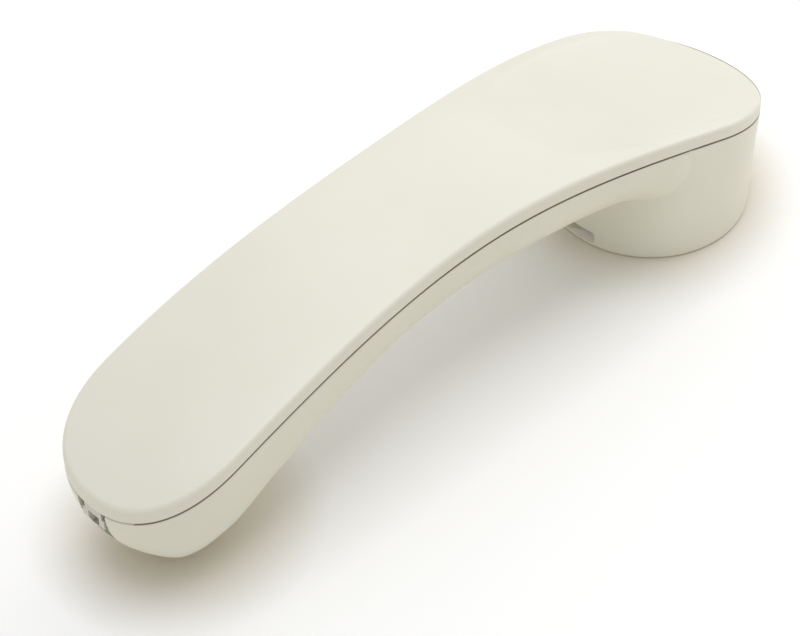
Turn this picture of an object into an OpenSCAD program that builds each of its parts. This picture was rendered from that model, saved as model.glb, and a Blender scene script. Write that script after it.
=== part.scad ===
// Corded telephone handset of the slimline kind: two screwed plastic covers round a receiver,
// a microphone, a modular cord socket, a ballast bar and the leads between them.
// Lying face down: X runs along the handset toward the ear end, Z is up, toward the back cover.
// The origin is on the table under the middle of the handset's length.

/* [Overall] */
// Length from mouth tip to ear tip
length = 210; // [196:1:256]
// Width across the ear end
ear_w = 50.2; // [50:0.2:62]
// Width across the mouth end
mouth_w = 42.5; // [38:0.5:54]
// Width across the middle of the grip
grip_w = 40.3; // [36:0.1:50]

/* [Seam line] */
// Height of the seam between the covers at its highest point
seam_crest_z = 47.1; // [44:0.1:58]
// Height of the seam at the mouth tip
seam_mouth_z = 25.1; // [24:0.1:31]
// Height of the seam at the ear tip
seam_ear_z = 20.4; // [19:0.1:26]
// Open joint between the two covers
seam_gap = 0.3; // [0.2:0.05:0.5]

/* [Covers] */
// Wall thickness of both covers
wall = 2.2; // [1.8:0.1:2.6]
// Height of the back cover's upright edge above the seam
edge_h = 2.85; // [2.7:0.05:3.4]
// Radius of the back cover's rolled edge
edge_r = 1.1; // [1:0.05:1.6]
// Rise of the back cover's middle above its rolled edge
crown = 1; // [0:0.1:2.5]
// Depth of the spoon-shaped hollow in the back of the ear end
dish_depth = 1.8; // [0.5:0.1:2.6]
// Height of the grip's underside above the table
grip_clear = 26.9; // [22:0.1:31]
// Radius of the ear cup where it stands on the table
cup_r = 25.3; // [25.1:0.1:28]
// Distance of the ear cup's centre from the ear tip
cup_in = 30; // [28:0.5:34]

/* [Ear face] */
// Radius of the flat rim's inner edge
rim_in_r = 20.5; // [19.5:0.1:21.5]
// Diameter of the sound holes over the receiver
ear_hole_d = 2.2; // [1.2:0.1:2.6]
// Radius of the outer circle of sound holes
ear_hole_r = 10.8; // [8:0.1:11.2]

/* [Wall hook pocket] */
// Width of the pocket for the wall hook
hook_w = 9.6; // [7:0.2:12]
// Height of the pocket for the wall hook
hook_h = 3.4; // [2.6:0.1:4]
// Depth of the pocket for the wall hook
hook_depth = 4.8; // [3:0.1:5.2]

/* [Receiver] */
// Radius of the receiver capsule
cap_r = 17; // [15.5:0.1:17]
// Radius of the voice coil's inside
coil_r = 6.8; // [6.4:0.05:7]

/* [Microphone] */
// Distance of the microphone's centre from the mouth tip
mic_in = 23; // [22:0.5:26]
// Radius of the electret microphone capsule
mic_r = 4.85; // [3:0.05:5]
// Diameter of the sound holes over the microphone
mic_hole_d = 1.6; // [1:0.1:2]

/* [Cord socket] */
// Width of the plug space in the cord socket
plug_w = 7.75; // [7.7:0.05:8.2]
// Height of the plug space without its latch keyway
plug_h = 4.6; // [4.4:0.1:5]
// Depth of the plug space
plug_depth = 12; // [11:0.5:13]

/* [Ballast and leads] */
// Length of the steel ballast bar
bar_l = 52; // [36:1:56]
// Width of the steel ballast bar
bar_w = 20; // [14:0.5:20]
// Thickness of the steel ballast bar
bar_t = 6; // [3:0.5:6.5]
// Outside diameter of a lead's insulation
lead_d = 1.3; // [1:0.1:1.6]

/* [Hidden] */
$fn = 48;
tiny = 0.01;

// ---- Outline and seam ----
half_l = length / 2;
mouth_cap = 0.58 * mouth_w;
ear_cap = 0.65 * ear_w;
mouth_n = 2.3;
mouth_cap_x = mouth_cap - half_l;
ear_cap_x = half_l - ear_cap;
waist_x = 3.2;
waist_a = waist_x - mouth_cap_x;
waist_b = ear_cap_x - waist_x;
waist_slope = 0.75 * ((grip_w - mouth_w) / pow(waist_a, 2) + (ear_w - grip_w) / pow(waist_b, 2))
    / (1 / waist_a + 1 / waist_b);
mouth_sag = seam_crest_z - seam_mouth_z;
ear_sag = seam_crest_z - seam_ear_z;
seam_root = (sqrt(mouth_sag) + sqrt(ear_sag)) / length;
crest_x = sqrt(mouth_sag) / seam_root - half_l;
cup_x = half_l - cup_in;
mic_x = mic_in - half_l;
mouth_steps = 9;
waist_steps = 20;
ear_steps = 12;
half_count = mouth_steps + waist_steps + ear_steps;
loop_count = 2 * half_count;

function mix(a, b, t) = a + (b - a) * t;
function ease(t) = let (u = min(1, max(0, t))) u * u * (3 - 2 * u);
function hermite(a, b, sa, sb, h, t) = a * (1 + 2 * t) * pow(1 - t, 2) + b * t * t * (3 - 2 * t)
    + h * t * (1 - t) * ((1 - t) * sa - t * sb);
function seam_z(x) = seam_crest_z - pow(seam_root * (x - crest_x), 2);
function half_w(x) = x < waist_x
    ? hermite(mouth_w / 2, grip_w / 2, 0, waist_slope, waist_a, (x - mouth_cap_x) / waist_a)
    : hermite(grip_w / 2, ear_w / 2, waist_slope, 0, waist_b, (x - waist_x) / waist_b);

half_outline = concat(
    [for (i = [0:mouth_steps - 1]) let (a = 90 * i / mouth_steps)
        [mouth_cap_x - mouth_cap * pow(cos(a), 2 / mouth_n), mouth_w / 2 * pow(sin(a), 2 / mouth_n)]],
    [for (i = [0:waist_steps]) let (x = mix(ear_cap_x, mouth_cap_x, pow(1 - i / waist_steps, 1.4)))
        [x, half_w(x)]],
    [for (i = [ear_steps - 1:-1:0]) let (a = 90 * i / ear_steps)
        [ear_cap_x + ear_cap * cos(a), ear_w / 2 * sin(a)]]);
outline = concat([for (p = half_outline) [p[0], -p[1]]],
    [for (i = [half_count - 1:-1:1]) half_outline[i]]);
outward = [for (i = [0:loop_count - 1])
    let (a = outline[(i + 1) % loop_count] - outline[(i + loop_count - 1) % loop_count])
    [a[1], -a[0]] / norm(a)];
spine = [for (i = [0:waist_steps]) half_outline[mouth_steps + i][0]];
function spine_of(i) = let (k = i > half_count ? loop_count - i : i)
    min(waist_steps, max(0, k - mouth_steps));

// Point of the outline moved inward by a distance, then a share of the way to the middle line
function inset(i, d, f) = let (p = outline[i] - d * outward[i])
    [mix(p[0], spine[spine_of(i)], f), p[1] * (1 - f)];

// ---- Surfaces ----
// Hollow for the hand in the back of the ear end, a squarish oval that runs out at the ear tip
dish_x = ear_cap_x - 3.4;
dish_a = 43.5;
dish_b = 0.432 * ear_w;
dish_n = 2.6;
dish_fall = 1.15;
function dish(x, y) = dish_depth * pow(max(0, 1 - pow(abs(x - dish_x) / dish_a, dish_n)
    - pow(abs(y) / dish_b, dish_n)), dish_fall);
function back_z(p, f) = seam_z(p[0]) + edge_h + edge_r + crown * f * (2 - f) - dish(p[0], p[1]);
function edge_z(p, h) = seam_z(p[0]) + h
    - dish(p[0], p[1]) * max(0, 2 * h / (edge_h + edge_r) - 1);

// Smooth curve through stations of [position, value], with no overshoot between them
function station_slope(s, i) = i == 0 || i == len(s) - 1 ? 0 :
    let (a = (s[i][1] - s[i - 1][1]) / (s[i][0] - s[i - 1][0]),
        b = (s[i + 1][1] - s[i][1]) / (s[i + 1][0] - s[i][0]))
    a * b <= 0 ? 0 : 2 * a * b / (a + b);
function station_part(s, x, i) = x <= s[i + 1][0] || i == len(s) - 2 ? i : station_part(s, x, i + 1);
function through(s, x) = let (i = station_part(s, x, 0), h = s[i + 1][0] - s[i][0])
    hermite(s[i][1], s[i + 1][1], station_slope(s, i), station_slope(s, i + 1), h,
        min(1, max(0, (x - s[i][0]) / h)));

// Underside of the front cover along the middle line, as a share of the grip's clearance
under = [[-half_l, 0], [mouth_cap_x, 0], [mouth_cap_x + 14, 0.415], [mouth_cap_x + 30, 0.737],
    [mouth_cap_x + 55, 0.946], [0, 1], [25, 0.933], [50, 0.688], [75, 0.446], [half_l, 0.446]];
function under_z(x) = grip_clear * through(under, x);
// Power of the front cover's cross-section, from its point on the outline
section = [[-half_l, 1.82], [10 - half_l, 2.15], [mouth_cap_x, 2.05], [mouth_cap_x + 20, 2.6],
    [mouth_cap_x + 60, 2.24], [20, 2.24], [45, 2.04], [60, 2.9], [half_l, 2.9]];
tub_angles = [9, 20, 32, 44, 55, 65, 74, 82];
// Height of the front cover's inside across the grip
function floor_z(x, y) = let (n = through(section, x))
    mix(seam_z(x), under_z(x) + wall, pow(1 - pow(abs(y) / (half_w(x) - wall), n), 1 / n));
// The tub is drawn a little inside the ear cup, which carries the surface there
function tuck(x) = ease((x - ear_cap_x + 8) / 12);
function tub_point(i, d, a) = let (n = through(section, outline[i][0]),
    f = 1 - pow(cos(a), 2 / n), s = pow(sin(a), 2 / n),
    p = inset(i, d + 0.6 * tuck(outline[i][0]), f))
    [p[0], p[1], mix(seam_z(outline[i][0]), under_z(p[0]) + d, s)];

// ---- Closed surfaces from stacked rings ----
function band(a, b, n) = [for (i = [0:n - 1]) let (j = (i + 1) % n)
    each [[a + i, a + j, b + j], [a + i, b + j, b + i]]];
function fan_in(a, s) = [for (i = [0:loop_count - 1])
    let (j = (i + 1) % loop_count, p = s + spine_of(i), q = s + spine_of(j))
    each (p == q ? [[a + i, a + j, p]] : [[a + i, a + j, q], [a + i, q, p]])];
function fan_out(s, b) = [for (i = [0:loop_count - 1])
    let (j = (i + 1) % loop_count, p = s + spine_of(i), q = s + spine_of(j))
    each (p == q ? [[p, b + j, b + i]] : [[p, q, b + j], [p, b + j, b + i]])];

// Solid between two middle lines with rings of the outline in between
module spined(top, rings, bottom) {
    s = len(spine);
    n = len(rings);
    polyhedron(concat(top, [for (r = rings) each r], bottom),
        concat(fan_out(0, s), [for (k = [0:n - 2]) each band(s + k * loop_count,
            s + (k + 1) * loop_count, loop_count)],
            fan_in(s + (n - 1) * loop_count, s + n * loop_count)));
}

// Solid between two points with rings of one count in between
module pointed(top, rings, bottom) {
    c = len(rings[0]);
    n = len(rings);
    polyhedron(concat([top], [for (r = rings) each r], [bottom]),
        concat([for (i = [0:c - 1]) [0, 1 + (i + 1) % c, 1 + i]],
            [for (k = [0:n - 2]) each band(1 + k * c, 1 + (k + 1) * c, c)],
            [for (i = [0:c - 1]) [1 + (n - 1) * c + i, 1 + (n - 1) * c + (i + 1) % c, 1 + n * c]]));
}

// ---- Back cover ----
edge_angles = [90, 55, 25];
back_shares = [0.72, 0.5, 0.32, 0.2, 0.12, 0.05];
lip_t = 1;
lip_h = edge_h + edge_r - wall - 0.85;
function all_i() = [0:loop_count - 1];
// The back with its rolled edge, whose corner keeps a small radius on the inside of the wall
function back_rings(d) = let (r = max(edge_r - d, 0.1)) concat(
    [for (f = back_shares) [for (i = all_i()) let (p = inset(i, d + r, f))
        [p[0], p[1], back_z(p, f) - d]]],
    [for (a = edge_angles) [for (i = all_i()) let (p = inset(i, d + r - r * cos(a), 0))
        [p[0], p[1], edge_z(p, edge_h + edge_r - d - r + r * sin(a))]]]);
function reversed(v) = [for (i = [len(v) - 1:-1:0]) v[i]];
function skirt(d, h) = [for (i = all_i()) let (p = inset(i, d, 0)) [p[0], p[1], seam_z(p[0]) + h]];
function back_spine(d) = [for (x = spine) [x, 0, back_z([x, 0], 1) - d]];

module back_shell() {
    spined(back_spine(0), concat(back_rings(0), [skirt(0, edge_h), skirt(0, seam_gap / 2),
        skirt(lip_t, seam_gap / 2), skirt(lip_t, lip_h), skirt(wall, lip_h)],
        reversed(back_rings(wall))), back_spine(wall));
}

// Space under the back cover down to its middle skin, used to trim what hangs from it
module back_room() {
    spined(back_spine(wall / 2), concat(back_rings(wall / 2), [skirt(wall / 2 + 1, lip_h),
        skirt(wall / 2 + 1.2, -30)]), [for (x = spine) [x, 0, seam_z(x) - 32]]);
}

screw_xs = [mouth_cap_x + 40, 36];
screw_seat = 4;
screw_head_d = 5.6;
screw_head_h = 2.2;
screw_d = 2.9;
post_d = 8;
function post_z(x) = under_z(x) + 8;
bar_x = -2;
pad_t = 1;
bar_z = floor_z(0, bar_w / 2 - 1) + 0.25;
clamp_z = 15.2;
socket_top = seam_mouth_z - 0.2;

module back_posts() {
    for (x = screw_xs)
        translate([x, 0, post_z(x)])
            cylinder(d = post_d, h = 25);
    for (x = [bar_x - bar_l / 4, bar_x + bar_l / 4])
        translate([x - 0.8, -4, bar_z + pad_t + bar_t + 0.3])
            cube([1.6, 14, 20]);
    translate([body_x + 3, -6, socket_top + 0.1])
        cube([1.6, 12, 20]);
    translate([half_l - wall - 5.8, -8, seam_z(half_l - 8) - 1.5])
        cube([2.4, 16, 20]);
}

module back_cover() {
    color("ivory") difference() {
        union() {
            back_shell();
            intersection() {
                back_posts();
                back_room();
            }
        }
        for (x = screw_xs)
            translate([x, 0, post_z(x) - 1])
                cylinder(d = screw_d + 0.1, h = 12, $fn = 32);
    }
}

// ---- Front cover ----
cup_count = 4 * ear_steps;
face_t = 4.2;
foot_r = 1;
function cup_top(i) = let (a = 360 * i / cup_count)
    [ear_cap_x + (cos(a) > 0 ? ear_cap : ear_cap_x - cup_x + cup_r) * cos(a), ear_w / 2 * sin(a)];
function cup_inset(i, d) = let (a = cup_top(i + 1) - cup_top(i - 1), n = [a[1], -a[0]] / norm(a))
    cup_top(i) - d * n;
function cup_floor(i, d) = let (a = 360 * i / cup_count)
    [cup_x + (cup_r - d) * cos(a), (cup_r - d) * sin(a)];
function cup_i() = [0:cup_count - 1];
function cup_drop(x) = 0.5 * (1 - tuck(x));
// Ring of the cup wall a share of the way up from the floor
function cup_ring(d, k, up, low) = [for (i = cup_i())
    let (f = cup_floor(i, d), t = cup_inset(i, d), p = mix(f, t, k))
    [p[0], p[1], mix(low, seam_z(t[0]) + up - cup_drop(t[0]), k)]];
function foot_ring(a) = [for (i = cup_i()) let (p = cup_floor(i, foot_r * (1 - cos(a))))
    [p[0], p[1], foot_r * (1 - sin(a))]];

module cup_solid() {
    pointed([cup_x, 0, seam_z(cup_x) - seam_gap], [cup_ring(3.4, 1, -seam_gap / 2, 0),
        cup_ring(0, 1, -seam_gap / 2, 0), cup_ring(0, 0.5, -seam_gap / 2, foot_r), foot_ring(0),
        foot_ring(45), foot_ring(90)], [cup_x, 0, 0]);
}

module cup_room() {
    pointed([cup_x, 0, seam_crest_z + 5], [cup_ring(wall, 1, 5, face_t),
        cup_ring(wall, 0, 0, face_t)], [cup_x, 0, face_t]);
}

function tub_top(d, up) = [for (i = all_i()) let (x = outline[i][0],
    p = inset(i, d + 0.6 * tuck(x), 0)) [p[0], p[1], seam_z(x) + up - 0.5 * tuck(x)]];
function tub_rings(d) = [for (a = tub_angles) [for (i = all_i()) tub_point(i, d, a)]];
function spine_at(up) = [for (x = spine) [x, 0, seam_z(x) + up]];
function tub_spine(d) = [for (x = spine) [x, 0, under_z(x) + d]];

module tub_solid(d, up) {
    spined(spine_at(up), concat([tub_top(d, up)], tub_rings(d)), tub_spine(d));
}

// Tongue of the front cover that stands inside the back cover's edge
module tongue() {
    rings = [skirt(lip_t + 0.2, -1), skirt(wall + 0.8, -1), skirt(wall + 0.8, lip_h - 0.2),
        skirt(lip_t + 0.2, lip_h - 0.2)];
    polyhedron([for (r = rings) each r], [for (k = [0:3]) each band(k * loop_count,
        ((k + 1) % 4) * loop_count, loop_count)]);
}

// The socket stands with its latch keyway toward the back cover; its nose fills a window of
// the mouth tip and steps in twice round the keyway
nose_y = plug_w / 2 + 0.4;
nose_steps = [[3.5, 2.4], [2.75, 0]];
space_top = socket_top - 5;
space_low = space_top - plug_h;
socket_low = space_low - 0.6;
socket_front = 0.6 - half_l;
nose_back = 3 - half_l;
body_x = 6.4 - half_l;
body_y = plug_w / 2 + 1.5;
body_back = socket_front + plug_depth + 1.6;
rail_x = body_x + 2.6;
rail_t = 1.5;
rail_y = body_y + 1.3;
boot_r = mic_r + 1.6;
mic_seat = 4.2;
mouth_floor = 2.3;
boot_h = 6;

module front_ribs() {
    for (x = screw_xs)
        translate([x, 0, 0])
            cylinder(d = post_d, h = post_z(x));
    for (x = [bar_x - bar_l / 2 + 3, bar_x, bar_x + bar_l / 2 - 4.5])
        translate([x, -12, 0])
            cube([1.5, 24, bar_z]);
    for (x = [bar_x - bar_l / 2 - 1.8, bar_x + bar_l / 2 + 0.3])
        translate([x, -9, 0])
            cube([1.5, 18, bar_z + pad_t + 0.6 * bar_t]);
    for (y = [-1, 1])
        for (x = [rail_x - 1.4, rail_x + rail_t + 0.2])
            translate([x, y > 0 ? body_y + 0.2 : -body_y - 0.2 - 2.6, 0])
                cube([1.2, 2.6, space_top]);
    translate([rail_x + rail_t + 0.2, -body_y - 1, 0])
        cube([1.2, 2 * body_y + 2, socket_low]);
    translate([mic_x, 0, 0])
        cylinder(r = boot_r + 1.5, h = mic_seat + 0.8 * boot_h);
}

module cup_ribs() {
    translate([cup_x, 0, 1])
        difference() {
            cylinder(r = cap_r + 1.8, h = 9);
            translate([0, 0, -1])
                cylinder(r = cap_r + 0.3, h = 12);
        }
    for (y = [-20.4, 20.4])
        translate([cup_x, y, 1])
            cylinder(d = 5, h = clamp_z - 1, $fn = 32);
    translate([cup_x - cup_r + 1.2, -hook_w / 2 - 1.2, 1])
        cube([hook_depth + 1.2, hook_w + 2.4, hook_h + 1.5]);
}

// Recess of the ear face with its ring-shaped flat rim left standing
module ear_recess() {
    translate([cup_x, 0, 0])
        rotate_extrude($fn = 64)
            polygon([[0, -1], [rim_in_r + 0.6, -1], [rim_in_r, 0], [rim_in_r - 1.6, 1.2],
                [rim_in_r - 6, 1.6], [0, 2]]);
}

module sound_holes() {
    translate([cup_x, 0, -1]) {
        cylinder(d = ear_hole_d, h = 8, $fn = 24);
        for (a = [0:60:300])
            rotate(a)
                translate([ear_hole_r / 2, 0, 0])
                    cylinder(d = ear_hole_d, h = 8, $fn = 24);
        for (a = [15:30:345])
            rotate(a)
                translate([ear_hole_r, 0, 0])
                    cylinder(d = ear_hole_d, h = 8, $fn = 24);
    }
    translate([mic_x, 0, -1]) {
        cylinder(d = mic_hole_d, h = 6, $fn = 24);
        for (a = [0:60:300])
            rotate(a)
                translate([3, 0, 0])
                    cylinder(d = mic_hole_d, h = 6, $fn = 24);
    }
}

module hook_pocket() {
    translate([cup_x - cup_r - 1, 0, 1.3])
        rotate([90, 0, 90])
            linear_extrude(hook_depth + 1) {
                translate([-hook_w / 2, 0])
                    square([hook_w, hook_h - 2]);
                translate([-hook_w / 2 + 2, 0])
                    square([hook_w - 4, hook_h]);
                for (y = [-1, 1])
                    translate([y * (hook_w / 2 - 2), hook_h - 2])
                        circle(r = 2, $fn = 32);
            }
}

module front_cover() {
    color("ivory") difference() {
        union() {
            difference() {
                union() {
                    tub_solid(0, -seam_gap / 2);
                    cup_solid();
                    tongue();
                }
                tub_solid(wall, 4);
                cup_room();
            }
            intersection() {
                front_ribs();
                tub_solid(wall / 2, -2);
            }
            cup_ribs();
        }
        ear_recess();
        sound_holes();
        hook_pocket();
        for (x = screw_xs) {
            translate([x, 0, -1])
                cylinder(d = screw_head_d + 1, h = post_z(x) - screw_seat + 1);
            translate([x, 0, 0])
                cylinder(d = screw_d + 0.5, h = seam_crest_z, $fn = 32);
        }
        for (y = [-20.4, 20.4])
            translate([cup_x, y, 5])
                cylinder(d = 2.3, h = 20, $fn = 24);
        translate([mic_x, 0, mic_seat])
            cylinder(r = boot_r, h = 20);
        translate([mic_x, 0, mouth_floor])
            cylinder(r = mic_r - 0.8, h = 20);
        translate([-half_l - 1, -nose_y - 0.2, socket_low - 0.2])
            cube([7, 2 * nose_y + 0.4, 20]);
    }
}

// ---- Screws ----
// Self-tapping screw with a domed cross-slotted head, pointing up from the head's seat
module screw(head_d, head_h, d, l) {
    difference() {
        union() {
            rotate_extrude($fn = 32)
                polygon([[0, -head_h], [0.28 * head_d, -head_h], [0.44 * head_d, -0.7 * head_h],
                    [head_d / 2, -0.3 * head_h], [head_d / 2, 0], [0, 0]]);
            cylinder(d = d, h = l - d / 2, $fn = 32);
            translate([0, 0, l - d / 2])
                cylinder(d1 = d, d2 = 0.5, h = d / 2, $fn = 32);
        }
        for (a = [0, 90])
            rotate(a)
                translate([-0.26 * head_d, -0.06 * head_d, -head_h - 1])
                    cube([0.52 * head_d, 0.12 * head_d, 1 + 0.6 * head_h]);
    }
}

module cover_screws() {
    color("silver")
        for (x = screw_xs)
            translate([x, 0, post_z(x) - screw_seat])
                screw(screw_head_d, screw_head_h, screw_d, 13);
}

module receiver_clamp_screws() {
    color("silver")
        for (y = [-20.4, 20.4])
            translate([cup_x, y, clamp_z + 2])
                rotate([180, 0, 0])
                    screw(4.4, 1.6, 2.2, 9);
}

// ---- Cord socket ----
space_back = socket_front + plug_depth;
key_w = 3.5;
key_h = 2.4;
contact_d = 0.45;
contact_z = space_low + contact_d / 2 + 0.05;
contact_ys = [-1.53, -0.51, 0.51, 1.53];
tail_ys = [-2.1, -0.7, 0.7, 2.1];
carrier_y = 2.95;

module cord_socket_housing() {
    color("gainsboro") difference() {
        union() {
            translate([0, nose_y, 0])
                rotate([90, 0, 0])
                    linear_extrude(2 * nose_y)
                        polygon([[nose_back, socket_low], [body_x + 1, socket_low],
                            [body_x + 1, space_top + 0.4], [socket_front + 0.3, space_top + 0.4]]);
            for (s = nose_steps)
                translate([socket_front, -s[0], space_top - 1])
                    cube([body_back - socket_front, 2 * s[0], socket_top - s[1] - space_top + 1]);
            translate([body_x, -body_y, socket_low])
                cube([body_back - body_x, 2 * body_y, space_top + 0.4 - socket_low]);
            translate([rail_x, -rail_y, socket_low])
                cube([rail_t, 2 * rail_y, plug_h]);
        }
        translate([socket_front - 1, -plug_w / 2, space_low])
            cube([plug_depth + 1, plug_w, plug_h]);
        translate([socket_front - 1, -key_w / 2, space_top - 1])
            cube([plug_depth + 1, key_w, key_h + 1]);
        translate([nose_back + 0.8, -2.3, space_low - 3])
            cube([space_back - nose_back, 4.6, 4]);
        translate([space_back - 1, -carrier_y - 0.05, space_low - 2.6])
            cube([4, 2 * carrier_y + 0.1, 4]);
    }
}

module rod(a, b, d) {
    v = b - a;
    translate(a)
        rotate([0, acos(v[2] / norm(v)), atan2(v[1], v[0])])
            cylinder(d = d, h = norm(v), $fn = 16);
}

module cord_socket_contacts() {
    color("gold")
        for (y = contact_ys) {
            bend = [socket_front + 4.8, y, contact_z];
            rod([space_back + 1, y, contact_z], bend, contact_d);
            translate(bend)
                sphere(d = contact_d, $fn = 16);
            rod(bend, [space_back - 3, y, space_top - 1.2], contact_d);
        }
}

module cord_socket_carrier() {
    color("dimgray") difference() {
        translate([space_back, -carrier_y, space_low - 0.6])
            cube([3.2, 2 * carrier_y, 1.95]);
        for (y = contact_ys)
            translate([space_back - 1, y, contact_z])
                rotate([0, 90, 0])
                    cylinder(d = contact_d + 0.15, h = 2.1, $fn = 16);
    }
}

module cord_socket_tails() {
    color("silver")
        for (y = tail_ys)
            rod([space_back + 3.2, y, contact_z], [space_back + 4.4, y, contact_z], 0.6);
}

// ---- Microphone ----
cloth_t = 0.4;
mic_z = mic_seat + cloth_t + 1;
mic_h = 4.5;
pad_y = 1.3;

module microphone_cloth() {
    color("black")
        translate([mic_x, 0, mic_seat])
            cylinder(r = boot_r - 0.1, h = cloth_t);
}

module microphone_boot() {
    color("dimgray")
        translate([mic_x, 0, mic_seat + cloth_t])
            rotate_extrude()
                polygon([[mic_r - 1.4, 0], [boot_r - 0.05, 0], [boot_r - 0.05, boot_h - 1],
                    [boot_r - 0.55, boot_h - 0.4], [mic_r + 0.05, boot_h - 0.4], [mic_r + 0.05, 1],
                    [mic_r - 1.4, 1]]);
}

module microphone_capsule() {
    color("silver")
        translate([mic_x, 0, mic_z]) {
            difference() {
                cylinder(r = mic_r, h = mic_h);
                translate([0, 0, mic_h - 0.3])
                    cylinder(r = mic_r - 0.6, h = 1);
                translate([0, 0, -1])
                    cylinder(d = 2, h = 1.6, $fn = 24);
            }
            for (y = [-pad_y, pad_y])
                translate([0, y, mic_h - 0.4])
                    cylinder(r = 0.8, h = 0.5, $fn = 24);
        }
}

// ---- Receiver ----
gasket_t = 1;
plate_z = face_t + gasket_t;
plate_t = 0.6;
ring_z = plate_z + plate_t;
ring_t = 1.1;
film_z = ring_z + ring_t;
film_t = 0.2;
film_r = cap_r - 1.4;
seat_r = cap_r - 3.1;
back_plate_z = 10.4;
back_plate_t = 1.2;
pole_z = 9.6;
pole_t = 1.2;
yoke_r = coil_r + 2.4;
yoke_t = 1.2;
board_x = -13;
board_t = 1;
lug_y = 3.8;
lug_z = back_plate_z + back_plate_t + board_t;

module at_cup(z) {
    translate([cup_x, 0, z])
        children();
}

module ring(r_in, r_out, h) {
    difference() {
        cylinder(r = r_out, h = h);
        translate([0, 0, -1])
            cylinder(r = r_in, h = h + 2);
    }
}

module receiver_cloth() {
    color("black") at_cup(face_t) cylinder(r = cap_r - 4.4, h = cloth_t);
}

module receiver_gasket() {
    color("dimgray") at_cup(face_t) ring(cap_r - 4, cap_r, gasket_t);
}

module receiver_front_plate() {
    color("silver") at_cup(plate_z) difference() {
        cylinder(r = cap_r, h = plate_t);
        for (a = [0:60:300])
            rotate(a)
                translate([7.5, 0, -1])
                    cylinder(d = 2.6, h = 3, $fn = 24);
        translate([0, 0, -1])
            cylinder(d = 2.6, h = 3, $fn = 24);
    }
}

module receiver_spacer_ring() {
    color("saddlebrown") at_cup(ring_z) ring(seat_r, film_r, ring_t);
}

// Thin film with a domed middle and a rolled surround, clamped at its rim
film = [[0, 1.5], [3, 1.35], [5.5, 0.9], [coil_r + 0.4, 0.4], [coil_r + 1.6, 0.2],
    [coil_r + 3.2, 0.65], [coil_r + 4.4, 0.8], [coil_r + 5.6, 0.65], [seat_r, 0], [film_r, 0]];
module receiver_diaphragm() {
    color("lightgray", 0.6) at_cup(film_z) rotate_extrude()
        polygon(concat(film, [for (i = [len(film) - 1:-1:0]) film[i] + [0, film_t]]));
}

module receiver_voice_coil() {
    color("peru") at_cup(film_z + 0.7) rotate_extrude()
        polygon([[coil_r + 0.1, 0], [coil_r + 0.35, 0], [coil_r + 0.35, 1.6], [coil_r + 0.7, 1.6],
            [coil_r + 0.7, 3.4], [coil_r + 0.1, 3.4]]);
}

module receiver_basket() {
    color("dimgray") difference() {
        union() {
            at_cup(ring_z) ring(cap_r - 1.2, cap_r, back_plate_z + back_plate_t - ring_z);
            at_cup(film_z + film_t) ring(seat_r, cap_r - 1, 1);
            at_cup(back_plate_z) ring(yoke_r + 0.05, cap_r - 1, back_plate_t);
        }
        for (a = [45:90:315])
            at_cup(back_plate_z - 1)
                rotate(a)
                    translate([13, 0, 0])
                        cylinder(d = 2, h = 4, $fn = 24);
    }
}

module receiver_pole_plate() {
    color("silver") at_cup(pole_z) cylinder(r = coil_r - 0.3, h = pole_t);
}

module receiver_magnet() {
    color("gray") at_cup(pole_z + pole_t) cylinder(r = coil_r - 0.8, h = clamp_z - yoke_t - pole_z - pole_t);
}

module receiver_yoke() {
    color("silver") at_cup(pole_z + 0.2) difference() {
        cylinder(r = yoke_r, h = clamp_z - pole_z - 0.2);
        translate([0, 0, -1])
            cylinder(r = coil_r + 1.2, h = clamp_z - pole_z - 0.2 - yoke_t + 1);
    }
}

module receiver_terminal_board() {
    color("tan") at_cup(back_plate_z + back_plate_t)
        translate([board_x - 2.5, -6, 0])
            cube([4.9, 12, board_t]);
}

module receiver_lugs() {
    color("gold") at_cup(lug_z)
        for (y = [-lug_y, lug_y])
            translate([board_x, y, 0]) {
                translate([-1.8, -1.1, 0])
                    cube([3.6, 2.2, 0.4]);
                cylinder(r = 0.9, h = 0.7, $fn = 24);
            }
}

module click_suppressor() {
    color("royalblue") at_cup(lug_z + 3.4)
        translate([board_x, 0, 0]) {
            rotate([0, 90, 0])
                translate([0, 0, -0.8])
                    cylinder(r = 2.4, h = 1.6, $fn = 32);
            for (y = [-1, 1])
                rod([0, 1.2 * y, -1.6], [0.9, y * (lug_y - 0.9), -2.8], 0.5);
        }
}

module receiver_clamp() {
    color("ivory") at_cup(clamp_z) difference() {
        union() {
            cylinder(r = 8, h = 2);
            translate([-3, -20.4, 0])
                cube([6, 40.8, 2]);
            for (y = [-20.4, 20.4])
                translate([0, y, 0])
                    cylinder(r = 2.5, h = 2, $fn = 32);
            translate([-0.8, -17, 0])
                cube([1.6, 34, 3.6]);
        }
        for (y = [-20.4, 20.4])
            translate([0, y, -1])
                cylinder(d = 2.4, h = 4, $fn = 24);
        translate([0, 0, -1])
            cylinder(r = 2, h = 6, $fn = 32);
    }
}

// ---- Ballast ----
module ballast_pad() {
    color("black")
        translate([bar_x - bar_l / 2 + 1, 1 - bar_w / 2, bar_z])
            cube([bar_l - 2, bar_w - 2, pad_t]);
}

module ballast_bar() {
    c = 0.8;
    color("slategray")
        translate([bar_x - bar_l / 2, 0, bar_z + pad_t])
            rotate([90, 0, 90])
                linear_extrude(bar_l)
                    polygon([[-bar_w / 2 + c, 0], [bar_w / 2 - c, 0], [bar_w / 2, c],
                        [bar_w / 2, bar_t - c], [bar_w / 2 - c, bar_t], [-bar_w / 2 + c, bar_t],
                        [-bar_w / 2, bar_t - c], [-bar_w / 2, c]]);
}

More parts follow.
